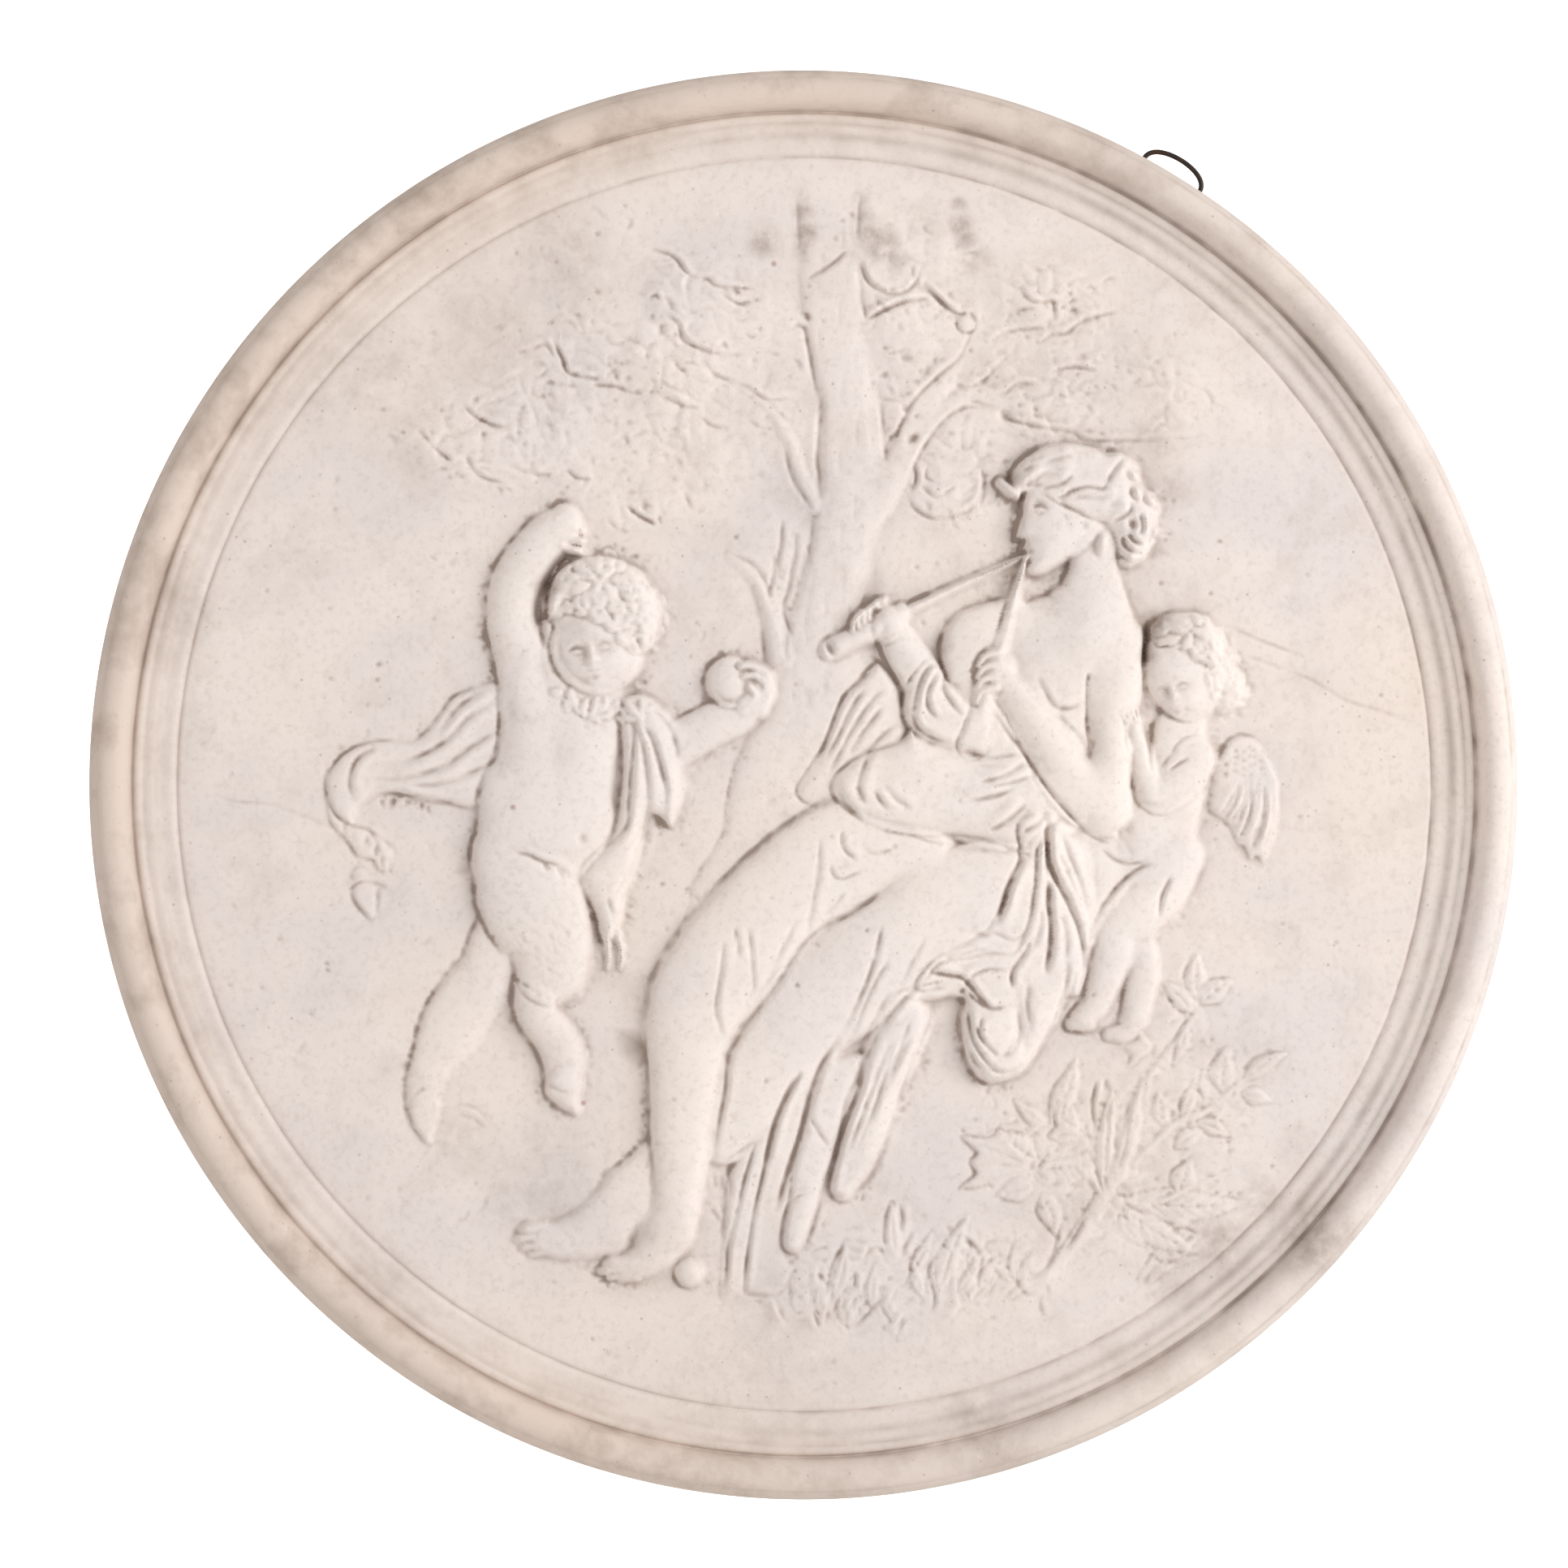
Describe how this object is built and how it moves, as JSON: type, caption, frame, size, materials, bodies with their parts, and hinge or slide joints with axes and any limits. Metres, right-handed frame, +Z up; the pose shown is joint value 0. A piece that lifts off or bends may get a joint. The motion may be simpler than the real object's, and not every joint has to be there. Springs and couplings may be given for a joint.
{
  "type": "plaster relief roundel",
  "caption": "Round wall plaque cast in plaster, with a moulded rim around a shallow pastoral scene in relief and an iron wire loop for hanging.",
  "frame": {"origin": "centre of the flat back face, which lies against the wall", "axes": "+Y out of the back into the wall, so the relief looks toward -Y; +Z up as the scene stands; +X to the right as seen from the front"},
  "size_m": [0.5, 0.0277, 0.5],
  "materials": {
    "plaster": "aged matt casting plaster with a faint waxed patina",
    "iron_wire": "dull drawn iron wire"
  },
  "bodies": {
    "root": {"roundel": "plaster", "hanging_loop": "iron_wire"}
  },
  "joints": []
}
